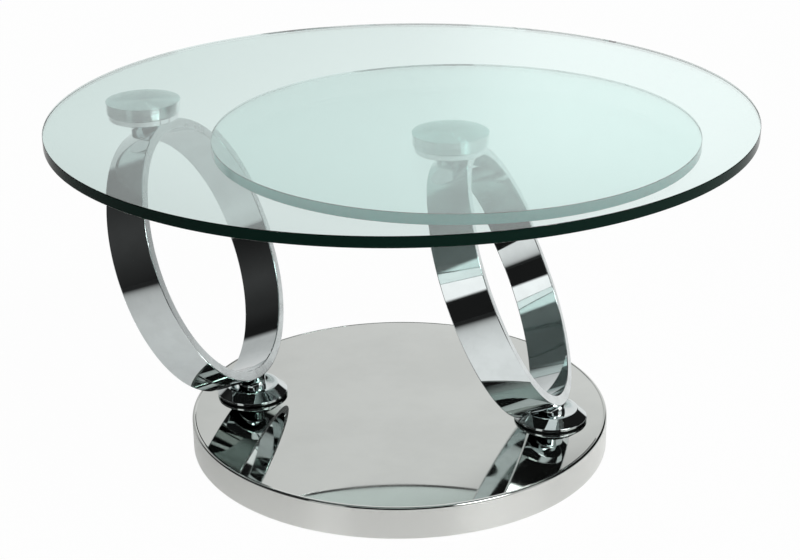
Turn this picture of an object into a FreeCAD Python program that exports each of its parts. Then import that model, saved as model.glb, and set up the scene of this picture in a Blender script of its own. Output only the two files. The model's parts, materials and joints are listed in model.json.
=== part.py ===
import FreeCAD, Part
import os

import Sketcher

# A swivel coffee table. Two round glass tops stand on leaning rings that swivel on a heavy round
# base. The origin is the centre of the base's footprint on the floor, Z is up, and both swivel
# posts stand on the X axis. Lengths are in millimetres and angles in degrees.

doc = FreeCAD.newDocument("SwivelCoffeeTable")
sizes = doc.addObject("Spreadsheet::Sheet", "Sizes")

driving_sizes = [
    # glass tops
    ("big_glass_diameter", 800, "upper glass top"),
    ("small_glass_diameter", 548, "lower glass top"),
    ("big_glass_offset_x", 3.5, "upper glass centre from the base centre, arms at rest"),
    ("big_glass_offset_y", 3.5, "upper glass centre from the base centre, arms at rest"),
    ("small_glass_offset_x", 4, "lower glass centre from the axis of its hub, arms at rest"),
    ("glass_thickness", 12, "both glass tops"),
    ("glass_arris", 0.8, "small polished chamfer on the glass edges"),
    ("glass_gap", 15, "air gap between the two tops"),
    # base
    ("base_diameter", 500, "outside of the rim band"),
    ("base_height", 38, "from the lower edge of the rim band to the mirror plate's surface"),
    ("glide_thickness", 2, "felt glides lift the base off the floor"),
    ("glide_diameter", 26, "felt glides"),
    ("glide_circle", 440, "circle through the glides"),
    ("band_thickness", 2, "wall of the rim band"),
    ("top_plate_thickness", 2, "mirror plate"),
    ("top_plate_reveal", 0.6, "shadow line between mirror plate and rim band"),
    ("ballast_thickness", 20, "steel disc inside the base"),
    ("underside_plate_thickness", 3, "plate that closes the base"),
    ("fixing_count", 6, "glides, spacers and screws, each spread evenly"),
    ("screw_circle", 400, "circle through the closing screws"),
    ("screw_diameter", 5, "closing screws"),
    ("screw_head_diameter", 9.4, "countersunk heads"),
    ("screw_grip", 8, "screw length inside the ballast"),
    ("spacer_diameter", 12, "tubes between closing plate and ballast"),
    # swivel posts
    ("post_spacing", 368, "between the two post axes"),
    ("left_turn", -3.1, "resting swivel of the left arm away from the line of the posts"),
    ("right_turn", 1.0, "resting swivel of the right arm away from the line of the posts"),
    ("spindle_diameter", 16, "steel spindle under each ring"),
    ("spindle_grip", 14, "spindle length inside the lower neck"),
    ("spindle_end_gap", 1.5, "below the spindle, above the closing plate"),
    ("bush_wall", 3, "wall of all bushes"),
    ("running_clearance", 0.05, "radial clearance of pins and spindles in their bushes"),
    ("glide_washer_diameter", 78, "black washer under each flange"),
    ("glide_washer_thickness", 2, "black washer under each flange"),
    ("thrust_washer_diameter", 36, "under the ballast"),
    ("thrust_washer_thickness", 2, "under the ballast"),
    ("nut_across_flats", 24, "lock nut on the spindle"),
    ("nut_height", 8, "lock nut on the spindle"),
    ("flange_diameter", 86, "chrome flange around each post"),
    ("flange_top_diameter", 64, "flat top of the flange, at the upper end of its cone"),
    ("flange_rim", 2.5, "height of the flange at its rim"),
    ("flange_rise", 9.4, "height of the flange's cone above its rim"),
    ("flange_edge_round", 0.8, "rounding of the flange's rim"),
    ("neck_diameter", 32, "necks above and below each ring"),
    # rings
    ("left_ring_diameter", 320, "outside of the rolled ring under the upper glass"),
    ("right_ring_diameter", 300, "outside of the rolled ring under the lower glass"),
    ("ring_width", 50, "flat bar"),
    ("ring_thickness", 12, "flat bar"),
    ("ring_edge_round", 0.8, "broken edges of the flat bar"),
    ("ring_rise", 25.5, "from the mirror plate to the lowest point of the ring's middle line"),
    ("hub_reach", 120, "from the axis of a post to the axis of the hub on its ring"),
    # hubs
    ("right_neck_length", 10.2, "from the ring to the right hub plate, and the least on the left"),
    ("hub_plate_diameter", 82, "chrome plate at the bottom of each hub"),
    ("hub_plate_thickness", 6.8, "chrome plate at the bottom of each hub"),
    ("hub_washer_diameter", 78, "dark bearing washer in each hub"),
    ("hub_washer_thickness", 1, "dark bearing washer in each hub"),
    ("hub_disc_diameter", 85, "aluminium disc bonded to the glass"),
    ("hub_disc_thickness", 14, "aluminium disc bonded to the glass"),
    ("hub_lip_diameter", 88, "wider top of the aluminium disc"),
    ("hub_lip_thickness", 3.5, "wider top of the aluminium disc"),
    ("hub_edge_chamfer", 0.5, "broken edges of hub plate and disc"),
    ("hub_pin_diameter", 14, "pin in the aluminium disc"),
    ("hub_pin_grip", 9, "pin length inside the aluminium disc"),
    ("hub_bush_length", 11.5, "bush in hub plate and neck"),
    ("hub_pin_end_gap", 1, "below the pin, above the bottom of its bore"),
]

worked_out_sizes = [
    # levels above the floor, from the bottom up
    ("closing_plate_top", "=glide_thickness + underside_plate_thickness"),
    ("base_top", "=glide_thickness + base_height"),
    ("ballast_top", "=base_top - top_plate_thickness"),
    ("ballast_bottom", "=ballast_top - ballast_thickness"),
    ("thrust_washer_bottom", "=ballast_bottom - thrust_washer_thickness"),
    ("nut_bottom", "=thrust_washer_bottom - nut_height"),
    ("spindle_bottom", "=closing_plate_top + spindle_end_gap"),
    ("flange_bottom", "=base_top + glide_washer_thickness"),
    ("spindle_top", "=flange_bottom + spindle_grip"),
    ("ring_bottom", "=base_top + ring_rise"),
    ("left_ring_height", "=sqrt(left_ring_diameter ^ 2 - hub_reach ^ 2)"),
    ("right_ring_height", "=sqrt(right_ring_diameter ^ 2 - hub_reach ^ 2)"),
    ("left_ring_middle", "=ring_bottom + left_ring_height / 2"),
    ("right_ring_middle", "=ring_bottom + right_ring_height / 2"),
    ("left_ring_top", "=ring_bottom + left_ring_height"),
    ("right_ring_top", "=ring_bottom + right_ring_height"),
    ("right_plate_bottom", "=right_ring_top + right_neck_length"),
    ("hub_height", "=hub_plate_thickness + hub_washer_thickness + hub_disc_thickness"),
    ("small_glass_bottom", "=right_plate_bottom + hub_height"),
    # the upper glass clears the lower one, and its own ring leaves room for a neck
    ("level_over_glass", "=small_glass_bottom + glass_thickness + glass_gap"),
    ("level_over_ring", "=left_ring_top + right_neck_length + hub_height"),
    ("big_glass_bottom", "=max(level_over_glass; level_over_ring)"),
    ("left_plate_bottom", "=big_glass_bottom - hub_height"),
    # lean of each ring from the vertical: its top stands over the hub, its bottom over the post
    ("left_ring_lean", "=atan(hub_reach / left_ring_height) / 1deg"),
    ("right_ring_lean", "=atan(hub_reach / right_ring_height) / 1deg"),
    # places in plan: a ring leans its top towards -X when its arm is not turned
    ("post_x", "=post_spacing / 2"),
    ("left_hub_x", "=-post_x - hub_reach * cos(left_turn * 1deg)"),
    ("left_hub_y", "=-hub_reach * sin(left_turn * 1deg)"),
    ("right_hub_x", "=post_x - hub_reach * cos(right_turn * 1deg)"),
    ("right_hub_y", "=-hub_reach * sin(right_turn * 1deg)"),
]

# Each arm: its name, the X place of its post, its resting turn, its hub and the hub's level.
arms = [
    ("left", "-Sizes.post_x", "Sizes.left_turn", "Sizes.left_hub_x", "Sizes.left_hub_y",
     "Sizes.left_plate_bottom"),
    ("right", "Sizes.post_x", "Sizes.right_turn", "Sizes.right_hub_x", "Sizes.right_hub_y",
     "Sizes.right_plate_bottom"),
]

sub_parts = []


def fill_sheet():
    row = 0
    for name, value, meaning in driving_sizes:
        row += 1
        sizes.set("A%d" % row, name)
        sizes.set("B%d" % row, str(value))
        sizes.set("C%d" % row, meaning)
        sizes.setAlias("B%d" % row, name)
    for name, formula in worked_out_sizes:
        row += 1
        sizes.set("A%d" % row, name)
        sizes.set("B%d" % row, formula)
        sizes.setAlias("B%d" % row, name)
    doc.recompute()


def place(thing, x="0", y="0", z="0", turn="0", tip="0"):
    """Put a thing at x, y, z, after tipping it about Y and then turning it about Z."""
    thing.setExpression(
        "Placement",
        "placement(vector(%s; %s; %s); rotation(%s; %s; 0))" % (x, y, z, turn, tip),
    )


def finish(thing, label):
    """Name a sub-part and keep it for the export."""
    thing.Label = label
    doc.recompute()
    sub_parts.append(thing)
    return thing


def cylinder(diameter, height, x="0", y="0", z="0"):
    rod = doc.addObject("Part::Cylinder", "Cylinder")
    rod.setExpression("Radius", "(%s) / 2" % diameter)
    rod.setExpression("Height", height)
    place(rod, x, y, z)
    return rod


def cut(solid, tool):
    result = doc.addObject("Part::Cut", "Cut")
    result.Base = solid
    result.Tool = tool
    return result


def gather(pieces):
    """Keep equal pieces together in one node, as separate solids."""
    group = doc.addObject("Part::Compound", "Group")
    group.Links = pieces
    return group


def around(circle, number):
    """X and Y of one of the evenly spread fixing places on a circle, counted from +X."""
    angle = "360deg / Sizes.fixing_count * %s" % number
    x = "%s / 2 * cos(%s)" % (circle, angle)
    y = "%s / 2 * sin(%s)" % (circle, angle)
    return x, y


def origin_plane(body, role):
    for feature in body.Origin.OriginFeatures:
        if feature.Role == role:
            return feature


def turned(label, half_section, z="0", x="0", y="0", turn="0", tip="0"):
    """A lathe-turned body about its own Z axis.

    half_section lists its corners as (radius, height), each a formula.
    """
    body = doc.addObject("PartDesign::Body", label + "_body")
    sketch = body.newObject("Sketcher::SketchObject", label + "_section")
    sketch.AttachmentSupport = [(origin_plane(body, "XZ_Plane"), "")]
    sketch.MapMode = "FlatFace"
    corners = []
    for radius, height in half_section:
        corners.append(FreeCAD.Vector(value_of(radius), value_of(height), 0))
    count = len(corners)
    for number in range(count):
        following = (number + 1) % count
        sketch.addGeometry(Part.LineSegment(corners[number], corners[following]))
    for number in range(count):
        following = (number + 1) % count
        sketch.addConstraint(Sketcher.Constraint("Coincident", number, 2, following, 1))
    for number, (radius, height) in enumerate(half_section):
        bind_distance(sketch, "DistanceX", number, corners[number].x, radius)
        bind_distance(sketch, "DistanceY", number, corners[number].y, height)
    doc.recompute()
    solid = body.newObject("PartDesign::Revolution", label + "_turned")
    solid.Profile = sketch
    solid.ReferenceAxis = (sketch, ["V_Axis"])
    solid.Angle = 360
    sketch.Visibility = False
    place(body, x, y, z, turn, tip)
    doc.recompute()
    return body


def value_of(formula):
    """The present value of a formula, used to draw the sketch near its final shape."""
    value = sizes.evalExpression(formula)
    return float(getattr(value, "Value", value))


def bind_distance(sketch, kind, line, distance, formula):
    """Drive the start point of a sketch line from the sketch's origin."""
    number = sketch.addConstraint(Sketcher.Constraint(kind, -1, 1, line, 1, distance))
    sketch.setExpression("Constraints[%d]" % number, formula)


def round_edges(body, radius, wanted):
    """Round the circular edges of a turned body that wanted(radius, height) picks."""
    turned_solid = body.Tip
    names = []
    for number, edge in enumerate(turned_solid.Shape.Edges, start=1):
        if edge.Curve.TypeId != "Part::GeomCircle":
            continue
        if wanted(edge.Curve.Radius, edge.Curve.Center.z):
            names.append("Edge%d" % number)
    rounding = body.newObject("PartDesign::Fillet", body.Name + "_rounding")
    rounding.Base = (turned_solid, names)
    rounding.setExpression("Radius", radius)
    turned_solid.Visibility = False
    doc.recompute()


def disc_section(radius, thickness, chamfer):
    """Half section of a plain disc with chamfered edges."""
    inner = "%s - %s" % (radius, chamfer)
    return [
        ("0", "0"),
        (inner, "0"),
        (radius, chamfer),
        (radius, "%s - %s" % (thickness, chamfer)),
        (inner, thickness),
        ("0", thickness),
    ]


def washer_section(outer_radius, inner_radius, thickness):
    """Half section of a flat ring."""
    return [
        (inner_radius, "0"),
        (outer_radius, "0"),
        (outer_radius, thickness),
        (inner_radius, thickness),
    ]


def make_glass_tops():
    big = turned(
        "big_glass",
        disc_section("Sizes.big_glass_diameter / 2", "Sizes.glass_thickness", "Sizes.glass_arris"),
        "Sizes.big_glass_bottom",
        "Sizes.big_glass_offset_x",
        "Sizes.big_glass_offset_y",
    )
    finish(big, "big_glass")
    small = turned(
        "small_glass",
        disc_section("Sizes.small_glass_diameter / 2", "Sizes.glass_thickness",
                     "Sizes.glass_arris"),
        "Sizes.small_glass_bottom",
        "Sizes.right_hub_x + Sizes.small_glass_offset_x",
        "Sizes.right_hub_y",
    )
    finish(small, "small_glass")


def make_base_shell():
    """Rim band and mirror plate."""
    band = turned(
        "base_rim_band",
        washer_section("Sizes.base_diameter / 2",
                       "Sizes.base_diameter / 2 - Sizes.band_thickness", "Sizes.base_height"),
        "Sizes.glide_thickness",
    )
    finish(band, "base_rim_band")
    plate_diameter = "Sizes.base_diameter - 2 * (Sizes.band_thickness + Sizes.top_plate_reveal)"
    plate = cylinder(plate_diameter, "Sizes.top_plate_thickness", z="Sizes.ballast_top")
    finish(cut(plate, bush_holes()), "base_top_plate")


def bush_holes():
    """The two holes through the top of the base that hold the spindle bushes."""
    holes = []
    for name, post_x, *others in arms:
        holes.append(cylinder(
            "Sizes.spindle_diameter + 2 * (Sizes.running_clearance + Sizes.bush_wall)",
            "Sizes.base_top - Sizes.ballast_bottom",
            x=post_x,
            z="Sizes.ballast_bottom",
        ))
    return gather(holes)


def make_ballast():
    disc = cylinder(
        "Sizes.base_diameter - 2 * Sizes.band_thickness",
        "Sizes.ballast_thickness",
        z="Sizes.ballast_bottom",
    )
    screw_holes = []
    for number in range(int(sizes.fixing_count)):
        x, y = around("Sizes.screw_circle", number + 0.5)
        screw_holes.append(cylinder(
            "Sizes.screw_diameter", "Sizes.screw_grip", x, y, "Sizes.ballast_bottom"
        ))
    finish(cut(cut(disc, bush_holes()), gather(screw_holes)), "base_ballast")


def make_underside():
    """Closing plate with its spacers, screws and felt glides."""
    plate = cylinder(
        "Sizes.base_diameter - 2 * Sizes.band_thickness",
        "Sizes.underside_plate_thickness",
        z="Sizes.glide_thickness",
    )
    screws = []
    screw_tools = []
    spacers = []
    glides = []
    for number in range(int(sizes.fixing_count)):
        x, y = around("Sizes.screw_circle", number + 0.5)
        screws.append(closing_screw("screw_%d" % (number + 1), x, y))
        screw_tools.append(closing_screw("screw_seat_%d" % (number + 1), x, y))
        spacers.append(turned(
            "spacer_%d" % (number + 1),
            washer_section("Sizes.spacer_diameter / 2", "Sizes.screw_diameter / 2",
                           "Sizes.ballast_bottom - Sizes.closing_plate_top"),
            "Sizes.closing_plate_top", x, y,
        ))
        x, y = around("Sizes.glide_circle", number)
        glides.append(cylinder("Sizes.glide_diameter", "Sizes.glide_thickness", x, y))
    finish(cut(plate, gather(screw_tools)), "base_underside_plate")
    finish(gather(spacers), "base_spacers")
    finish(gather(screws), "base_screws")
    finish(gather(glides), "base_glides")


def closing_screw(label, x, y):
    """A countersunk screw, head down and flush with the closing plate."""
    shank = "Sizes.screw_diameter / 2"
    head = "Sizes.screw_head_diameter / 2"
    tip = "Sizes.ballast_bottom + Sizes.screw_grip - Sizes.glide_thickness"
    section = [
        ("0", "0"),
        (head, "0"),
        (shank, "%s - %s" % (head, shank)),
        (shank, tip),
        ("0", tip),
    ]
    return turned(label, section, "Sizes.glide_thickness", x, y)


def make_base_pivot(side, post_x):
    """Everything on a post between the closing plate and the ring, except the neck."""
    spindle_radius = "Sizes.spindle_diameter / 2"
    bush_bore = spindle_radius + " + Sizes.running_clearance"
    bush = turned(
        side + "_spindle_bush",
        washer_section(bush_bore + " + Sizes.bush_wall", bush_bore,
                       "Sizes.base_top - Sizes.ballast_bottom"),
        "Sizes.ballast_bottom", post_x,
    )
    finish(bush, side + "_spindle_bush")
    washer = turned(
        side + "_glide_washer",
        washer_section("Sizes.glide_washer_diameter / 2", bush_bore,
                       "Sizes.glide_washer_thickness"),
        "Sizes.base_top", post_x,
    )
    finish(washer, side + "_glide_washer")
    spindle = cylinder(
        "Sizes.spindle_diameter", "Sizes.spindle_top - Sizes.spindle_bottom",
        x=post_x, z="Sizes.spindle_bottom",
    )
    finish(spindle, side + "_spindle")
    thrust = turned(
        side + "_thrust_washer",
        washer_section("Sizes.thrust_washer_diameter / 2", spindle_radius,
                       "Sizes.thrust_washer_thickness"),
        "Sizes.thrust_washer_bottom", post_x,
    )
    finish(thrust, side + "_thrust_washer")
    finish(lock_nut(post_x), side + "_lock_nut")
    finish(flange(side, post_x), side + "_flange")


def lock_nut(post_x):
    hexagon = doc.addObject("Part::Prism", "Hexagon")
    hexagon.Polygon = 6
    hexagon.setExpression("Circumradius", "Sizes.nut_across_flats / 2 / cos(30deg)")
    hexagon.setExpression("Height", "Sizes.nut_height")
    place(hexagon, post_x, z="Sizes.nut_bottom")
    bore = cylinder("Sizes.spindle_diameter", "Sizes.nut_height", x=post_x, z="Sizes.nut_bottom")
    return cut(hexagon, bore)


def flange(side, post_x):
    """Rim, cone, flat top and a bore that fits around the lower neck."""
    bore = "Sizes.neck_diameter / 2"
    rim = "Sizes.flange_diameter / 2"
    top = "Sizes.flange_rim + Sizes.flange_rise"
    section = [
        (bore, "0"),
        (rim, "0"),
        (rim, "Sizes.flange_rim"),
        ("Sizes.flange_top_diameter / 2", top),
        (bore, top),
    ]
    body = turned(side + "_flange", section, "Sizes.flange_bottom", post_x)
    inside_rim = value_of("Sizes.flange_diameter / 2 - Sizes.flange_edge_round")
    round_edges(body, "Sizes.flange_edge_round", lambda radius, z: radius > inside_rim)
    return body


def ring_place(side, post_x, turn):
    """Centre of a leaning ring: X, Y, Z and the tip that brings its axis to the lean."""
    half_reach = "Sizes.hub_reach / 2"
    x = "%s - %s * cos(%s * 1deg)" % (post_x, half_reach, turn)
    y = "-%s * sin(%s * 1deg)" % (half_reach, turn)
    return x, y, "Sizes.%s_ring_middle" % side, "90 - Sizes.%s_ring_lean" % side


def make_ring(side, post_x, turn):
    """A flat bar rolled into a ring, drawn about its own axis and then leaned."""
    outer = "Sizes.%s_ring_diameter / 2" % side
    inner = outer + " - Sizes.ring_thickness"
    half_width = "Sizes.ring_width / 2"
    section = [
        (inner, "-" + half_width),
        (outer, "-" + half_width),
        (outer, half_width),
        (inner, half_width),
    ]
    x, y, z, tip = ring_place(side, post_x, turn)
    body = turned(side + "_ring", section, z, x, y, turn, tip)
    round_edges(body, "Sizes.ring_edge_round", lambda radius, height: True)
    finish(body, side + "_ring")


def ring_disc(side, post_x, turn):
    """A solid disc that fills a ring to its outer face, used to shape the necks."""
    disc = doc.addObject("Part::Cylinder", "RingDisc")
    disc.setExpression("Radius", "Sizes.%s_ring_diameter / 2" % side)
    disc.setExpression("Height", "Sizes.ring_width")
    x, y, z, tip = ring_place(side, post_x, turn)
    lean = "Sizes.%s_ring_lean * 1deg" % side
    back = "Sizes.ring_width / 2 * cos(%s)" % lean
    drop = "Sizes.ring_width / 2 * sin(%s)" % lean
    place(
        disc,
        "%s - %s * cos(%s * 1deg)" % (x, back, turn),
        "%s - %s * sin(%s * 1deg)" % (y, back, turn),
        "%s - %s" % (z, drop),
        turn,
        tip,
    )
    return disc


def make_lower_neck(side, post_x, turn):
    """Stands on the glide washer inside the flange and follows the ring's outer face above."""
    blank = cylinder(
        "Sizes.neck_diameter",
        "Sizes.ring_bottom + Sizes.ring_thickness - Sizes.flange_bottom",
        x=post_x, z="Sizes.flange_bottom",
    )
    bore = cylinder("Sizes.spindle_diameter", "Sizes.spindle_grip", x=post_x,
                    z="Sizes.flange_bottom")
    finish(cut(cut(blank, ring_disc(side, post_x, turn)), bore), side + "_lower_neck")


def make_upper_neck(side, post_x, turn, hub_x, hub_y, plate_bottom):
    """Follows the ring's outer face below and carries the hub plate above."""
    bottom = "Sizes.%s_ring_top - Sizes.ring_thickness" % side
    blank = cylinder("Sizes.neck_diameter", "%s - (%s)" % (plate_bottom, bottom), hub_x, hub_y,
                     bottom)
    shaped = cut(blank, ring_disc(side, post_x, turn))
    neck = cut(shaped, hub_bore(hub_x, hub_y, plate_bottom))
    finish(neck, side + "_upper_neck")


def hub_bore(hub_x, hub_y, plate_bottom):
    """The bore through hub plate and neck that holds the bush."""
    return cylinder(
        "Sizes.hub_pin_diameter + 2 * (Sizes.running_clearance + Sizes.bush_wall)",
        "Sizes.hub_bush_length",
        hub_x,
        hub_y,
        "%s + Sizes.hub_plate_thickness - Sizes.hub_bush_length" % plate_bottom,
    )


def make_hub(side, hub_x, hub_y, plate_bottom):
    """Plate, washer, bush, pin and bonding disc, from the neck to the glass."""
    plate_top = plate_bottom + " + Sizes.hub_plate_thickness"
    disc_bottom = plate_top + " + Sizes.hub_washer_thickness"
    pin_radius = "Sizes.hub_pin_diameter / 2"
    bush_bore = pin_radius + " + Sizes.running_clearance"
    bush_outside = bush_bore + " + Sizes.bush_wall"

    plate_section = disc_section("Sizes.hub_plate_diameter / 2", "Sizes.hub_plate_thickness",
                                 "Sizes.hub_edge_chamfer")
    plate_section[0] = (bush_outside, "0")
    plate_section[-1] = (bush_outside, "Sizes.hub_plate_thickness")
    plate = turned(side + "_hub_plate", plate_section, plate_bottom, hub_x, hub_y)
    finish(plate, side + "_hub_plate")

    bush = turned(
        side + "_hub_bush",
        washer_section(bush_outside, bush_bore, "Sizes.hub_bush_length"),
        plate_top + " - Sizes.hub_bush_length", hub_x, hub_y,
    )
    finish(bush, side + "_hub_bush")

    washer = turned(
        side + "_hub_washer",
        washer_section("Sizes.hub_washer_diameter / 2", bush_bore, "Sizes.hub_washer_thickness"),
        plate_top, hub_x, hub_y,
    )
    finish(washer, side + "_hub_washer")

    pin_below = "Sizes.hub_washer_thickness + Sizes.hub_bush_length - Sizes.hub_pin_end_gap"
    pin = cylinder("Sizes.hub_pin_diameter", "%s + Sizes.hub_pin_grip" % pin_below,
                   hub_x, hub_y, "%s - (%s)" % (disc_bottom, pin_below))
    finish(pin, side + "_hub_pin")

    finish(hub_disc(side, hub_x, hub_y, disc_bottom), side + "_hub_disc")


def hub_disc(side, hub_x, hub_y, disc_bottom):
    """Aluminium disc with a wider lip at the glass and a blind bore for the pin."""
    pin_radius = "Sizes.hub_pin_diameter / 2"
    wall = "Sizes.hub_disc_diameter / 2"
    lip = "Sizes.hub_lip_diameter / 2"
    chamfer = "Sizes.hub_edge_chamfer"
    thickness = "Sizes.hub_disc_thickness"
    lip_bottom = thickness + " - Sizes.hub_lip_thickness"
    section = [
        ("0", "Sizes.hub_pin_grip"),
        (pin_radius, "Sizes.hub_pin_grip"),
        (pin_radius, "0"),
        ("%s - %s" % (wall, chamfer), "0"),
        (wall, chamfer),
        (wall, lip_bottom),
        (lip, lip_bottom),
        (lip, "%s - %s" % (thickness, chamfer)),
        ("%s - %s" % (lip, chamfer), thickness),
        ("0", thickness),
    ]
    return turned(side + "_hub_disc", section, disc_bottom, hub_x, hub_y)


def check_and_export():
    doc.recompute()
    os.makedirs("parts", exist_ok=True)
    for thing in doc.Objects:
        if "Invalid" in thing.State or "Error" in thing.State:
            raise RuntimeError("%s did not recompute" % thing.Label)
    for thing in sub_parts:
        if thing.Shape.isNull() or not thing.Shape.isValid():
            raise RuntimeError("%s has no valid shape" % thing.Label)
        if not thing.Shape.Solids:
            raise RuntimeError("%s holds no solid" % thing.Label)
        thing.Shape.exportStep("parts/%s.step" % thing.Label)
        print("%-24s %2d solids %12.1f mm3" % (
            thing.Label, len(thing.Shape.Solids), thing.Shape.Volume))


fill_sheet()
make_base_shell()
make_ballast()
make_underside()
for side, post_x, turn, hub_x, hub_y, plate_bottom in arms:
    make_base_pivot(side, post_x)
    make_lower_neck(side, post_x, turn)
    make_ring(side, post_x, turn)
    make_upper_neck(side, post_x, turn, hub_x, hub_y, plate_bottom)
    make_hub(side, hub_x, hub_y, plate_bottom)
make_glass_tops()
check_and_export()
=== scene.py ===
import json
import math

import bmesh
import bpy
from mathutils import Matrix, Vector


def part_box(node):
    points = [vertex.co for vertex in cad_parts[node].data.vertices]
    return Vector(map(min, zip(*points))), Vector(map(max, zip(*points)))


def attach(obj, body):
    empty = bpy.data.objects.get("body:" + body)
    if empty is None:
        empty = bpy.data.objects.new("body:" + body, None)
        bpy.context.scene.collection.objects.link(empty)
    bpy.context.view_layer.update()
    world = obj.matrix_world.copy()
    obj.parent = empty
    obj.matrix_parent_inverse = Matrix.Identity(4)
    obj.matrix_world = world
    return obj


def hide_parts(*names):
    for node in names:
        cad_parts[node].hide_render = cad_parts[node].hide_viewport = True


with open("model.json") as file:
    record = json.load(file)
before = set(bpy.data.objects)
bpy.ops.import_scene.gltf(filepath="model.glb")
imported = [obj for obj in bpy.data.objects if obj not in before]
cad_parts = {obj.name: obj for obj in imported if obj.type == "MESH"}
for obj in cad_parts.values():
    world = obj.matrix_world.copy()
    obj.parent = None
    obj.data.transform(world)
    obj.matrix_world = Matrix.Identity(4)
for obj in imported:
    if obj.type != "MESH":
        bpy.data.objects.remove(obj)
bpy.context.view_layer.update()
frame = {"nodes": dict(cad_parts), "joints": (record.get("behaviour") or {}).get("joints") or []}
nodes = frame["nodes"]
jointPlaces = {joint["name"]: Vector(joint["pos_m"]) for joint in frame["joints"]}
print("frame: %d nodes" % len(nodes))


class Wire:
    # one socket's value; sums and products of wires add Math nodes
    def __init__(self, tree, socket):
        self.tree = tree
        self.socket = socket

    def combine(self, operation, first, second):
        return self.tree.wire("ShaderNodeMath", {"operation": operation}, {0: first, 1: second})

    def __add__(self, other):
        return self.combine("ADD", self, other)

    def __sub__(self, other):
        return self.combine("SUBTRACT", self, other)

    def __rsub__(self, other):
        return self.combine("SUBTRACT", other, self)

    def __mul__(self, other):
        return self.combine("MULTIPLY", self, other)

    def power(self, exponent):
        return self.combine("POWER", self, exponent)

    def largerOf(self, other):
        return self.combine("MAXIMUM", self, other)

    def arc(self, other):
        return self.combine("ARCTAN2", self, other)

    def size(self):
        return self.combine("ABSOLUTE", self, 0)

    def arcsine(self):
        return self.combine("ARCSINE", self, 0)

    def halfTurns(self):
        # the same angle, between -180 and 180 degrees
        return self.tree.wire("ShaderNodeMath", {"operation": "WRAP"}, {0: self, 1: 180, 2: -180})

    def ramp(self, fromLow, fromHigh, toLow=0.0, toHigh=1.0, smooth=True):
        # maps a stretch of values onto another, clamped at both ends
        settings = {"interpolation_type": "SMOOTHSTEP" if smooth else "LINEAR", "clamp": True}
        places = {"Value": self, "From Min": fromLow, "From Max": fromHigh,
                  "To Min": toLow, "To Max": toHigh}
        return self.tree.wire("ShaderNodeMapRange", settings, places)


class ShaderTree:
    # a node tree that is written as expressions
    def __init__(self, owner):
        owner.use_nodes = True
        self.nodes = owner.node_tree.nodes
        self.links = owner.node_tree.links
        self.nodes.clear()

    def add(self, kind, settings=None, inputs=None):
        node = self.nodes.new(kind)
        for name, value in (settings or {}).items():
            setattr(node, name, value)
        for place, value in (inputs or {}).items():
            socket = node.inputs[place]
            if isinstance(value, Wire):
                self.links.new(value.socket, socket)
            else:
                socket.default_value = value
        return node

    def wire(self, kind, settings=None, inputs=None, output=0):
        return Wire(self, self.add(kind, settings, inputs).outputs[output])

    def vector(self, operation, inputs, output=0):
        return self.wire("ShaderNodeVectorMath", {"operation": operation}, inputs, output)

    def mixColour(self, mask, first, second):
        settings = {"data_type": "RGBA", "blend_type": "MIX"}
        return self.wire("ShaderNodeMix", settings, {0: mask, 6: first, 7: second}, 2)

    def objectPlace(self, centre=(0, 0, 0)):
        place = self.wire("ShaderNodeTexCoord", output=3)
        return self.wire("ShaderNodeMapping", {"vector_type": "TEXTURE"},
                         {"Vector": place, "Location": centre})

    def grey(self, level):
        return self.wire("ShaderNodeCombineColor", None, {0: level, 1: level, 2: level})

    def rays(self, *names):
        node = self.add("ShaderNodeLightPath")
        return [Wire(self, node.outputs[name]) for name in names]

    def parts(self, vector):
        node = self.add("ShaderNodeSeparateXYZ", None, {0: vector})
        return [Wire(self, socket) for socket in node.outputs]

    def flat(self, x, y):
        return self.wire("ShaderNodeCombineXYZ", None, {0: x, 1: y})

    def noise(self, vector, scale, detail=2.0, roughness=0.5):
        return self.wire("ShaderNodeTexNoise", {"noise_dimensions": "3D"},
                         {"Vector": vector, "Scale": scale, "Detail": detail,
                          "Roughness": roughness})

    def lines(self, along):
        # noise along one value, for grooves
        return self.wire("ShaderNodeTexNoise", {"noise_dimensions": "1D"},
                         {"W": along, "Scale": 1.0, "Detail": 3.0})

    def bump(self, height, distance):
        return self.wire("ShaderNodeBump", None, {"Height": height, "Distance": distance})

    def principled(self, inputs):
        return self.wire("ShaderNodeBsdfPrincipled", None, inputs)


def startMaterial(name):
    material = bpy.data.materials.new(name)
    return material, ShaderTree(material)


def endMaterial(tree, surface, volume=None):
    output = tree.add("ShaderNodeOutputMaterial", None, {"Surface": surface})
    if volume:
        tree.links.new(volume.socket, output.inputs["Volume"])


def darkened(colour, share):
    return tuple(share * part for part in colour[:3]) + (1,)


def chromeMaterial(name, colour, roughness, streaksPerMetre=40.0, crown=0.0):
    # polished metal: faint smears in the gloss and a colour that hardly varies; a crown is the
    # fall of a plate toward its edge, in metres at a metre from the middle
    look = {"darkest": 0.94, "toneFrom": (0.35, 0.7), "glossFrom": (0.3, 0.75),
            "fineTimes": 20, "fineShare": 0.3}
    material, tree = startMaterial(name)
    place = tree.objectPlace()
    smears = tree.noise(place, streaksPerMetre, detail=4.0, roughness=0.6)
    fine = tree.noise(place, streaksPerMetre * look["fineTimes"])
    low, high = roughness
    grain = (fine - 0.5) * look["fineShare"] * (high - low)
    x, y = tree.parts(place)[:2]
    surface = tree.principled({
        "Base Color": tree.mixColour(smears.ramp(*look["toneFrom"]), colour,
                                     darkened(colour, look["darkest"])),
        "Metallic": 1.0,
        "Roughness": smears.ramp(*look["glossFrom"], low, high) + grain,
        "Normal": tree.bump((x * x + y * y) * crown, 1.0),
    })
    endMaterial(tree, surface)
    return material


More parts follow.
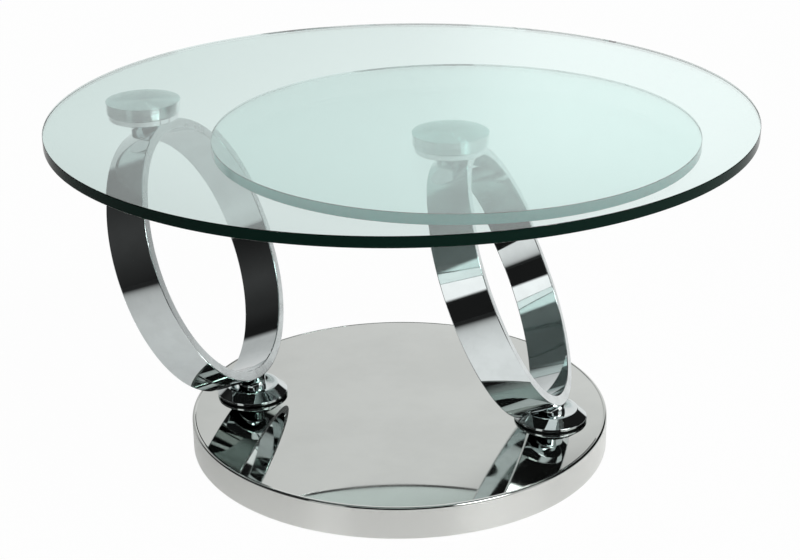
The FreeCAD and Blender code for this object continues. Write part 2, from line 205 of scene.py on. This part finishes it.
def glassMaterial(name, rimShadeShare=0.0, rimShadeColour=None, rimIndex=1.52):
    # clear float glass: the green comes from the length of glass that light passes. A rim is
    # mostly a plain green surface of painted shade, in place of the light that enters there and is
    # swallowed on its long way through the glass
    look = {"tint": (0.10, 0.72, 0.62, 1), "density": 13.0, "index": 1.52,
            "hazePerMetre": 6.0, "hazeFrom": (0.4, 0.8), "roughness": (0.0, 0.004),
            "rimDarkest": 0.8, "rimRougher": 0.02}
    material, tree = startMaterial(name)
    haze = tree.noise(tree.objectPlace(), look["hazePerMetre"], detail=3.0)
    gloss = haze.ramp(*look["hazeFrom"], *look["roughness"])
    surface = tree.principled({
        "Base Color": (1, 1, 1, 1),
        "Roughness": gloss,
        "IOR": look["index"],
        "Transmission Weight": 1.0,
    })
    if rimShadeShare:
        # deep is the rim's painted shade: an opaque green surface instead of glass
        deep = tree.principled({
            "Base Color": tree.mixColour(haze, rimShadeColour, darkened(rimShadeColour, look["rimDarkest"])),
            "Roughness": gloss + look["rimRougher"],
            "IOR": rimIndex,
        })
        fromInside = tree.wire("ShaderNodeNewGeometry", output="Backfacing")
        surface = tree.wire("ShaderNodeMixShader", None,
                            {0: (1 - fromInside) * rimShadeShare, 1: surface, 2: deep})
    volume = tree.wire("ShaderNodeVolumeAbsorption", None,
                       {"Color": look["tint"], "Density": look["density"]})
    endMaterial(tree, surface, volume)
    return material


def groovedNormal(tree, place, upright, outward):
    # fine grooves that run around the piece tip the normal up its wall and out along its faces,
    # by another amount at every point, so that a lamp is drawn out across them; upright and
    # outward each give the greatest tip and how much rarer steep tips are than slight ones
    steepest, rarer = upright
    widest, scarcer = outward
    x, y = tree.parts(place)[:2]
    chance = tree.wire("ShaderNodeTexWhiteNoise", {"noise_dimensions": "3D"},
                       {"Vector": place}, 1)
    first, second = tree.parts(chance)[:2]
    fromMiddle = tree.vector("NORMALIZE", {0: tree.flat(x, y)})
    spoke = tree.wire("ShaderNodeVectorTransform",
                      {"vector_type": "VECTOR", "convert_from": "OBJECT", "convert_to": "WORLD"},
                      {0: fromMiddle})
    tipped = tree.vector("SCALE", {0: spoke, "Scale": second.power(scarcer) * widest})
    raised = tree.wire("ShaderNodeCombineXYZ", None, {2: first.power(rarer) * steepest})
    smooth = tree.wire("ShaderNodeNewGeometry", output="Normal")
    leaning = tree.vector("ADD", {0: tree.vector("ADD", {0: smooth, 1: tipped}), 1: raised})
    return tree.vector("NORMALIZE", {0: leaning})


def spunMaterial(name, colour, centre):
    # turned aluminium: fine grooves around the middle, on the faces and on the wall
    look = {"groovesPerMetre": 900.0, "wobblesPerMetre": 30.0, "darkest": 0.92,
            "glossFrom": (0.3, 0.7), "roughness": (0.08, 0.14),
            "upright": (0.85, 2.2), "outward": (1.6, 6)}
    material, tree = startMaterial(name)
    place = tree.objectPlace(centre)
    x, y, z = tree.parts(place)
    radius = tree.vector("LENGTH", {0: tree.flat(x, y)}, 1)
    wobble = tree.noise(place, look["wobblesPerMetre"])
    grooves = tree.lines((radius + z) * look["groovesPerMetre"] + wobble)
    surface = tree.principled({
        "Base Color": tree.mixColour(grooves, colour, darkened(colour, look["darkest"])),
        "Metallic": 1.0,
        "Roughness": grooves.ramp(*look["glossFrom"], *look["roughness"]),
        "Normal": groovedNormal(tree, place, look["upright"], look["outward"]),
    })
    endMaterial(tree, surface)
    return material


def brushedMaterial(name, colour):
    # satin steel brushed around the base
    look = {"around": 1.5, "up": 500.0, "scale": 3.0, "breaks": 0.7, "darkest": 0.96,
            "from": (0.3, 0.7), "roughness": (0.24, 0.27),
            "upright": (0.8, 4), "outward": (0, 1)}
    material, tree = startMaterial(name)
    place = tree.objectPlace()
    x, y, z = tree.parts(place)
    line = tree.flat(y.arc(x) * look["around"], z * look["up"])
    brush = tree.noise(line, look["scale"], detail=4.0, roughness=look["breaks"])
    surface = tree.principled({
        "Base Color": tree.mixColour(brush.ramp(*look["from"]), colour,
                                     darkened(colour, look["darkest"])),
        "Metallic": 1.0,
        "Roughness": brush.ramp(*look["from"], *look["roughness"]),
        "Normal": groovedNormal(tree, place, look["upright"], look["outward"]),
    })
    endMaterial(tree, surface)
    return material


def plainMaterial(name, colour, roughness, grainsPerMetre, metallic=0.0, depth=0.00005):
    # a matt or machined finish with an even grain
    look = {"fineTimes": 12, "coarseShare": 0.6, "fineShare": 0.4, "darkest": 0.7,
            "toneFrom": (0.35, 0.65), "glossFrom": (0.3, 0.7), "spread": 0.06}
    material, tree = startMaterial(name)
    place = tree.objectPlace()
    coarse = tree.noise(place, grainsPerMetre, detail=3.0)
    fine = tree.noise(place, grainsPerMetre * look["fineTimes"])
    mottle = coarse * look["coarseShare"] + fine * look["fineShare"]
    surface = tree.principled({
        "Base Color": tree.mixColour(mottle.ramp(*look["toneFrom"]), colour,
                                     darkened(colour, look["darkest"])),
        "Metallic": metallic,
        "Roughness": mottle.ramp(*look["glossFrom"], roughness - look["spread"],
                                 roughness + look["spread"]),
        "Normal": tree.bump(fine, depth),
    })
    endMaterial(tree, surface)
    return material


metalColours = {
    "chrome": (0.75, 0.80, 0.80, 1),
    "plate": (0.635, 0.656, 0.632, 1),
    "band": (0.84, 0.85, 0.82, 1),
    "aluminium": (0.84, 0.93, 0.92, 1),
}
plainFinishes = {
    "blackNylon": {"colour": (0.02, 0.02, 0.02, 1), "roughness": 0.45, "grainsPerMetre": 300.0},
    "greyFelt": {"colour": (0.20, 0.20, 0.21, 1), "roughness": 0.9, "grainsPerMetre": 900.0,
                 "depth": 0.0003},
    "blackPaint": {"colour": (0.04, 0.04, 0.045, 1), "roughness": 0.5, "grainsPerMetre": 500.0},
    "rawSteel": {"colour": (0.40, 0.40, 0.41, 1), "roughness": 0.5, "grainsPerMetre": 60.0,
                 "metallic": 1.0},
    "zincSteel": {"colour": (0.62, 0.63, 0.65, 1), "roughness": 0.35, "grainsPerMetre": 200.0,
                  "metallic": 1.0},
    "bronze": {"colour": (0.60, 0.42, 0.22, 1), "roughness": 0.35, "grainsPerMetre": 300.0,
               "metallic": 1.0},
}
chrome = chromeMaterial("mirrorChrome", metalColours["chrome"], roughness=(0.02, 0.05))
chromeEdge = chromeMaterial("satinChromeEdge", metalColours["chrome"], roughness=(0.22, 0.30))
mirrorPlate = chromeMaterial("mirrorPlate", metalColours["plate"], roughness=(0.015, 0.04),
                             streaksPerMetre=8.0, crown=-0.0045)
satinBand = brushedMaterial("satinBand", metalColours["band"])
glass = glassMaterial("clearGlass")
# painted shade on the rims: near black green on the big top, a lighter green on the small one
bigRim = glassMaterial("bigGlassRim", rimShadeShare=0.97, rimShadeColour=(0.008, 0.042, 0.030, 1),
                       rimIndex=1.12)
smallRim = glassMaterial("smallGlassRim", rimShadeShare=0.9, rimShadeColour=(0.06, 0.54, 0.48, 1))
plain = {name: plainMaterial(name, **finish) for name, finish in plainFinishes.items()}
print("materials: %d" % len(bpy.data.materials))


def roundMeasure(node):
    # centre line, greatest radius, bottom and top of a piece that stands upright
    low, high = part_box(node)
    centre = (low + high) / 2
    radius = max((vertex.co - centre).xy.length for vertex in nodes[node].data.vertices)
    return {"centre": Vector((centre.x, centre.y, 0)), "radius": radius,
            "bottom": low.z, "top": high.z}


def ringMeasure(side, top):
    # a leaning ring between a post on the base and a hub above
    post = jointPlaces[side + "_arm_swivel"]
    hub = jointPlaces[top]
    along = Vector((post.x - hub.x, post.y - hub.y, 0))
    reach = along.length
    along.normalize()
    across = Vector((-along.y, along.x, 0))
    node = side + "_ring"
    low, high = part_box(node)
    centre = (low + high) / 2
    spokes = [vertex.co - centre for vertex in nodes[node].data.vertices]
    outside = 2 * max(spoke.dot(across) for spoke in spokes)
    lean = math.asin(reach / outside)
    axis = along * math.cos(lean) + Vector((0, 0, 1)) * math.sin(lean)
    width = 2 * max(spoke.dot(axis) for spoke in spokes)
    inside = 2 * min((spoke - axis * spoke.dot(axis)).length for spoke in spokes)
    return {"centre": centre, "axis": axis, "across": across, "outside": outside,
            "inside": inside, "width": width}


def meshObject(name, shape):
    mesh = bpy.data.meshes.new(name)
    shape.to_mesh(mesh)
    shape.free()
    piece = bpy.data.objects.new(name, mesh)
    bpy.context.scene.collection.objects.link(piece)
    return piece


def addPiece(name, shape, body, node, slot, *materials):
    # a smooth piece that moves with a body and stands for one CAD node
    piece = meshObject(name, shape)
    for material in materials:
        piece.data.materials.append(material)
    for face in piece.data.polygons:
        face.use_smooth = True
    weights = piece.modifiers.new("flatFaces", "WEIGHTED_NORMAL")
    weights.keep_sharp = True
    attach(piece, body)
    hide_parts(node)


latheForm = {
    "segments": 6,      # in each rounded corner
    "merge": 1e-7,      # two points nearer than this are one
}


def lathe(outline, steps, centre=(0, 0, 0), closed=False):
    # spins an outline about Z and moves it to its centre; each corner is a radius, a height and
    # how far it is rounded
    shape = bmesh.new()
    corners = [shape.verts.new((radius, 0, height)) for radius, height, edge in outline]
    ends = list(zip(corners, corners[1:]))
    if closed:
        ends.append((corners[-1], corners[0]))
    for first, second in ends:
        shape.edges.new((first, second))
    for corner, (radius, height, edge) in zip(corners, outline):
        if edge > 0:
            bmesh.ops.bevel(shape, geom=[corner], offset=edge, offset_type="OFFSET",
                            segments=latheForm["segments"], profile=0.5, affect="VERTICES",
                            material=-1)
    bmesh.ops.spin(shape, geom=shape.verts[:] + shape.edges[:], cent=(0, 0, 0), axis=(0, 0, 1),
                   angle=2 * math.pi, steps=steps, use_merge=True, use_duplicate=False)
    bmesh.ops.remove_doubles(shape, verts=shape.verts[:], dist=latheForm["merge"])
    bmesh.ops.recalc_face_normals(shape, faces=shape.faces[:])
    bmesh.ops.translate(shape, vec=centre, verts=shape.verts[:])
    return shape


def makeGlassTop(name, node, body, rimMaterial):
    glassEdge = {"polish": 0.0008, "steps": 256, "rimSlope": 0.3}
    size = roundMeasure(node)
    outline = [
        (0, size["bottom"], 0),
        (size["radius"], size["bottom"], glassEdge["polish"]),
        (size["radius"], size["top"], glassEdge["polish"]),
        (0, size["top"], 0),
    ]
    shape = lathe(outline, glassEdge["steps"], size["centre"])
    for face in shape.faces:
        face.material_index = 1 if abs(face.normal.z) < glassEdge["rimSlope"] else 0
    addPiece(name, shape, body, node, "clear_glass", glass, rimMaterial)


makeGlassTop("bigGlassTop", "big_glass", "big_top", bigRim)
makeGlassTop("smallGlassTop", "small_glass", "small_top", smallRim)
print("glass tops made")


def makeRing(side, size):
    ringBar = {"edge": 0.0010, "steps": 320, "sideSlope": 0.7}
    outer = size["outside"] / 2
    inner = size["inside"] / 2
    half = size["width"] / 2
    edge = ringBar["edge"]
    outline = [(inner, -half, edge), (outer, -half, edge), (outer, half, edge),
               (inner, half, edge)]
    shape = lathe(outline, ringBar["steps"], closed=True)
    for face in shape.faces:
        face.material_index = 1 if abs(face.normal.z) > ringBar["sideSlope"] else 0
    rise = size["across"].cross(size["axis"])
    turn = Matrix((rise, size["across"], size["axis"])).transposed()
    bmesh.ops.transform(shape, matrix=Matrix.Translation(size["centre"]) @ turn.to_4x4(),
                        verts=shape.verts[:])
    bmesh.ops.recalc_face_normals(shape, faces=shape.faces[:])
    addPiece(side + "Ring", shape, side + "_arm", side + "_ring", "chrome", chrome, chromeEdge)


def makeNeck(name, node, side, size, ringSide):
    # an upright rod whose end is sunk into the ring's wall; ringSide is 1 where the ring is below
    neckRod = {"sink": 0.004, "steps": 96}
    rod = roundMeasure(node)
    upright = size["axis"].cross(size["across"])
    if upright.z < 0:
        upright = -upright
    cut = size["centre"] + upright * ringSide * (size["outside"] / 2 - neckRod["sink"])
    spare = (size["outside"] - size["inside"]) / 2
    low = rod["bottom"] - (spare if ringSide > 0 else 0)
    high = rod["top"] + (spare if ringSide < 0 else 0)
    outline = [(0, low, 0), (rod["radius"], low, 0), (rod["radius"], high, 0), (0, high, 0)]
    shape = lathe(outline, neckRod["steps"], rod["centre"])
    cutting = bmesh.ops.bisect_plane(
        shape, geom=shape.verts[:] + shape.edges[:] + shape.faces[:], dist=latheForm["merge"],
        plane_co=cut, plane_no=upright * ringSide, clear_inner=True)
    rim = [item for item in cutting["geom_cut"] if isinstance(item, bmesh.types.BMEdge)]
    bmesh.ops.contextual_create(shape, geom=rim)
    bmesh.ops.recalc_face_normals(shape, faces=shape.faces[:])
    addPiece(name, shape, side + "_arm", node, "chrome", chrome)


def makeFlange(side):
    # a shallow cone with a flat top
    flangeForm = {"rim": 0.0025, "flatTop": 0.032, "edge": 0.0006, "steps": 192}
    size = roundMeasure(side + "_flange")
    neck = roundMeasure(side + "_lower_neck")
    outline = [
        (neck["radius"], size["bottom"], 0),
        (size["radius"], size["bottom"], flangeForm["edge"]),
        (size["radius"], size["bottom"] + flangeForm["rim"], flangeForm["edge"]),
        (flangeForm["flatTop"], size["top"], flangeForm["edge"]),
        (neck["radius"], size["top"], 0),
    ]
    shape = lathe(outline, flangeForm["steps"], size["centre"], closed=True)
    addPiece(side + "Flange", shape, side + "_arm", side + "_flange", "chrome", chrome)


def makeHubPlate(side):
    plateForm = {"lowerEdge": 0.0012, "upperEdge": 0.0006, "steps": 160}
    plate = roundMeasure(side + "_hub_plate")
    outline = [
        (0, plate["bottom"], 0),
        (plate["radius"], plate["bottom"], plateForm["lowerEdge"]),
        (plate["radius"], plate["top"], plateForm["upperEdge"]),
        (0, plate["top"], 0),
    ]
    shape = lathe(outline, plateForm["steps"], plate["centre"])
    addPiece(side + "HubPlate", shape, side + "_arm", side + "_hub_plate", "chrome", chrome)


def makeHubDisc(side, topBody):
    # the disc under the glass, with a thin lip at its top
    discForm = {"edge": 0.0006, "lip": 0.0010, "lipOver": 0.0008, "lipEdge": 0.0002,
                "glue": 0.00005, "steps": 160}
    disc = roundMeasure(side + "_hub_disc")
    wall = disc["radius"] - discForm["lipOver"]
    lipBottom = disc["top"] - discForm["lip"]
    top = disc["top"] - discForm["glue"]
    outline = [
        (0, disc["bottom"], 0),
        (wall, disc["bottom"], discForm["edge"]),
        (wall, lipBottom, 0),
        (disc["radius"], lipBottom, discForm["lipEdge"]),
        (disc["radius"], top, discForm["lipEdge"]),
        (0, top, 0),
    ]
    shape = lathe(outline, discForm["steps"], disc["centre"])
    spun = spunMaterial(side + "SpunAluminium", metalColours["aluminium"], disc["centre"])
    addPiece(side + "HubDisc", shape, topBody, side + "_hub_disc", "spun_aluminium", spun)


for side, topJoint, topBody in (("left", "big_top_swivel", "big_top"),
                                ("right", "small_top_swivel", "small_top")):
    ring = ringMeasure(side, topJoint)
    makeRing(side, ring)
    makeNeck(side + "UpperNeck", side + "_upper_neck", side, ring, ringSide=1)
    makeNeck(side + "LowerNeck", side + "_lower_neck", side, ring, ringSide=-1)
    makeFlange(side)
    makeHubPlate(side)
    makeHubDisc(side, topBody)
print("rings, necks, flanges and hubs made")


def makeBase():
    # a satin band whose top rounds over, polished, to the mirror plate
    baseForm = {"edge": 0.0008, "rim": 0.0026, "bandWall": 0.0045, "steps": 256}
    band = roundMeasure("base_rim_band")
    inner = band["radius"] - baseForm["bandWall"]
    outline = [
        (inner, band["bottom"], 0),
        (band["radius"], band["bottom"], baseForm["edge"]),
        (band["radius"], band["top"], baseForm["rim"]),
        (inner, band["top"], 0),
    ]
    shape = lathe(outline, baseForm["steps"], closed=True)
    for face in shape.faces:
        rounded = face.calc_center_median().z > band["top"] - baseForm["rim"]
        face.material_index = 1 if rounded else 0
    addPiece("baseRimBand", shape, "base", "base_rim_band", "satin_steel", satinBand, mirrorPlate)
    plate = roundMeasure("base_top_plate")
    outline = [
        (0, plate["bottom"], 0),
        (inner, plate["bottom"], 0),
        (inner, plate["top"], 0),
        (0, plate["top"], 0),
    ]
    shape = lathe(outline, baseForm["steps"])
    addPiece("baseMirrorPlate", shape, "base", "base_top_plate", "mirror_steel", mirrorPlate)


makeBase()

# the pieces that keep their CAD meshes, by the ends of their names
keptFinishes = {
    "_spindle": "zincSteel",
    "_thrust_washer": "zincSteel",
    "_lock_nut": "zincSteel",
    "_hub_pin": "zincSteel",
    "_bush": "bronze",
    "_glide_washer": "blackNylon",
    "_hub_washer": "blackNylon",
    "base_ballast": "rawSteel",
    "base_underside_plate": "blackPaint",
    "base_spacers": "zincSteel",
    "base_screws": "zincSteel",
    "base_glides": "greyFelt",
}
for name, node in nodes.items():
    for ending, finish in keptFinishes.items():
        if name.endswith(ending):
            node.data.materials.clear()
            node.data.materials.append(plain[finish])
print("base made, kept pieces dressed")


def floorMaterial(name):
    # matt paper, lifted to white where the camera looks at it; glass and metal show it at levels
    # of their own, with painted shade that makes it darker to the left, under the table and toward
    # the front. leftToRight and sideFade are stretches along X in metres, the others along Y
    paperLook = {
        "colour": (0.90, 0.90, 0.89, 1),
        # the front colour is painted shade: the floor turns near black toward the front, so that
        # metal shows a dark room there
        "frontShadeColour": (0.05, 0.05, 0.05, 1),
        "darkest": 0.97,
        "grainsPerMetre": 3.0,
        "frontShadeFade": (-1.95, -0.9),     # from frontShadeColour to colour
        "whiteShare": 0.98,             # how far the camera's own view is lifted to white
    }
    # the floor that shows through glass, with painted shade: darker and greener to the left, and a
    # painted shadow of the table under it and in front of it
    throughGlassShade = {
        "left": (0.74, 0.80, 0.785, 1),
        "right": (1.0, 1.0, 1.0, 1),
        "leftToRight": (-1.2, 0.2),
        "tableShadowShare": 0.78,             # its share under the table and in front of it
        "behindTable": (0.45, 1.15),    # from that share to the whole of it
    }
    # painted shade of the floor as metal shows it: how bright it stands, darker to the left and
    # fading to dark paper at the front and far left
    mirroredFloorShade = {
        "left": 0.40,
        "right": 0.80,
        "leftToRight": (-0.45, 0.12),
        "frontShadeFade": (-1.95, -0.4),     # in front of this it is only paper
        "sideFade": (-1.7, -0.95),      # and to the left of this
    }
    material, tree = startMaterial(name)
    place = tree.objectPlace()
    x, y = tree.parts(place)[:2]
    grain = tree.noise(place, paperLook["grainsPerMetre"])
    sheet = tree.mixColour(grain, paperLook["colour"],
                           darkened(paperLook["colour"], paperLook["darkest"]))
    # painted shade toward the front: the paper fades to near black there
    pale = y.ramp(*paperLook["frontShadeFade"])
    paper = tree.wire("ShaderNodeBsdfDiffuse", None,
                      {"Color": tree.mixColour(pale, paperLook["frontShadeColour"], sheet)})
    direct, through, mirrored, bounces = tree.rays(
        "Is Camera Ray", "Is Transmission Ray", "Is Glossy Ray", "Glossy Depth")
    clearView = through * (1 - bounces).largerOf(0)
    # painted shade through glass: darker and greener to the left
    shadedThroughGlass = tree.mixColour(x.ramp(*throughGlassShade["leftToRight"]), throughGlassShade["left"],
                            throughGlassShade["right"])
    # painted shadow of the table, under it and in front of it, lifting behind it
    depth = y.ramp(*throughGlassShade["behindTable"], throughGlassShade["tableShadowShare"], 1.0)
    shadedThroughGlass = tree.mixColour(depth, (0, 0, 0, 1), shadedThroughGlass)
    colour = tree.mixColour((1 - direct) * clearView, (1, 1, 1, 1), shadedThroughGlass)
    white = tree.wire("ShaderNodeEmission", None, {"Color": colour, "Strength": 1.0})
    # painted shade in metal: the floor's glow runs from 0.40 on the left to 0.80 on the right and
    # fades out at the front and far left
    paintedMirrorShade = x.ramp(*mirroredFloorShade["leftToRight"], mirroredFloorShade["left"], mirroredFloorShade["right"])
    frontAndSideShade = y.ramp(*mirroredFloorShade["frontShadeFade"], smooth=False) * x.ramp(*mirroredFloorShade["sideFade"])
    seen = direct.largerOf(clearView) * paperLook["whiteShare"]
    seen = seen.largerOf(mirrored * frontAndSideShade * paintedMirrorShade)
    endMaterial(tree, tree.wire("ShaderNodeMixShader", None, {0: seen, 1: paper, 2: white}))
    return material


def makeFloor():
    edges = {"left": -2.6, "right": 2.6, "front": -3.2, "back": 3.6}
    wide = (edges["right"] - edges["left"]) / 2
    deep = (edges["back"] - edges["front"]) / 2
    middle = (edges["left"] + wide, edges["front"] + deep, 0)
    shape = bmesh.new()
    bmesh.ops.create_grid(shape, x_segments=1, y_segments=1, size=1)
    bmesh.ops.scale(shape, vec=(wide, deep, 1), verts=shape.verts[:])
    bmesh.ops.translate(shape, vec=middle, verts=shape.verts[:])
    floor = meshObject("studioFloor", shape)
    floor.data.materials.append(floorMaterial("paleFloor"))


def middleOf(span):
    low, high = span
    return (low + high) / 2


def within(offset, span, soft):
    # 1 where an angle's offset from the middle of a span lies inside the span, 0 outside
    low, high = span
    half = (high - low) / 2
    return offset.size().ramp(half + soft, half - soft)


def makeStudio():
    # a dim room with a pale backdrop, a ceiling, cards and a lamp;
    # azimuth 0 is behind the table and 90 to its right, all angles in degrees
    dimRoom = 0.012
    backdrop = {
        "faces": -55,             # where it stands squarest, with its highest edge
        "top": 43,                # the elevation of that edge
        "soft": 0.07,             # how far it fades there, on a direction of length 1
        "azimuth": (-60, 36),
        "sideSoft": 4,
        "level": (0.50, 0.86),    # at the two ends of brighter
        "brighter": (-52, -4),
    }
    panels = {
        "ceiling": {"azimuth": (-180, 180), "elevation": (72, 110), "soft": 9, "level": 0.5},
        "glow": {"azimuth": (-9, 2), "elevation": (9, 19), "soft": 3, "level": 0.2},
        "keyLamp": {"azimuth": (98, 132), "elevation": (42, 53), "soft": 1.5, "level": 13.0},
        "keyCard": {"azimuth": (84, 128), "elevation": (12, 38), "soft": 3, "level": 0.9},
        "fillCard": {"azimuth": (-163, -143), "elevation": (13, 35), "soft": 1.2, "level": 1.14,
                     "lean": 0.3},
        "haze": {"azimuth": (-140, -85), "elevation": (-10, 40), "soft": 14, "level": 0.035},
    }
    world = bpy.data.worlds.new("studio")
    bpy.context.scene.world = world
    tree = ShaderTree(world)
    x, y, z = tree.parts(tree.wire("ShaderNodeTexCoord"))
    toDegrees = 180 / math.pi
    azimuth = x.arc(y) * toDegrees
    elevation = z.arcsine() * toDegrees
    aside = (azimuth - middleOf(backdrop["azimuth"])).halfTurns()
    beside = within(aside, backdrop["azimuth"], backdrop["sideSoft"])
    facing = math.radians(backdrop["faces"])
    ahead = x * math.sin(facing) + y * math.cos(facing)
    over = z - ahead * math.tan(math.radians(backdrop["top"]))
    below = over.ramp(backdrop["soft"], -backdrop["soft"])
    level = beside * below * azimuth.ramp(*backdrop["brighter"], *backdrop["level"])
    for panel in panels.values():
        above = elevation - middleOf(panel["elevation"])
        aside = azimuth - middleOf(panel["azimuth"]) - above * panel.get("lean", 0)
        inside = within(aside.halfTurns(), panel["azimuth"], panel["soft"])
        inside = inside * within(above, panel["elevation"], panel["soft"])
        level = level + inside * panel["level"]
    direct, through, bounces = tree.rays("Is Camera Ray", "Is Transmission Ray", "Glossy Depth")
    seen = direct.largerOf(through * (1 - bounces))
    colour = tree.mixColour(seen, tree.grey(level + dimRoom), (1, 1, 1, 1))
    back = tree.wire("ShaderNodeBackground", None, {"Color": colour, "Strength": 1.0})
    tree.add("ShaderNodeOutputWorld", None, {"Surface": back})


def makeCamera():
    view = {
        "azimuth": 11.833,     # degrees to the right of straight in front
        "distance": 1.868,     # from the table's axis, on the floor plan
        "aboveTop": 0.5654,    # above the big glass
        "heading": 13.869,     # degrees left of straight ahead
        "down": 22.448,        # degrees below level
        "roll": -1.485,
        "lens": 77.2,
        "sensor": 36.0,
        "shift": 0.074,
    }
    camera = bpy.data.cameras.new("camera")
    camera.lens = view["lens"]
    camera.sensor_width = view["sensor"]
    camera.shift_x = view["shift"]
    holder = bpy.data.objects.new("camera", camera)
    azimuth = math.radians(view["azimuth"])
    height = roundMeasure("big_glass")["top"] + view["aboveTop"]
    place = Vector((math.sin(azimuth) * view["distance"],
                    -math.cos(azimuth) * view["distance"], height))
    turn = (Matrix.Rotation(math.radians(view["heading"]), 4, "Z")
            @ Matrix.Rotation(math.radians(90 - view["down"]), 4, "X")
            @ Matrix.Rotation(math.radians(view["roll"]), 4, "Z"))
    holder.matrix_world = Matrix.Translation(place) @ turn
    bpy.context.scene.collection.objects.link(holder)
    bpy.context.scene.camera = holder


makeFloor()
makeStudio()
makeCamera()
bpy.context.scene.view_settings.view_transform = "Standard"
print("room, light and camera made")
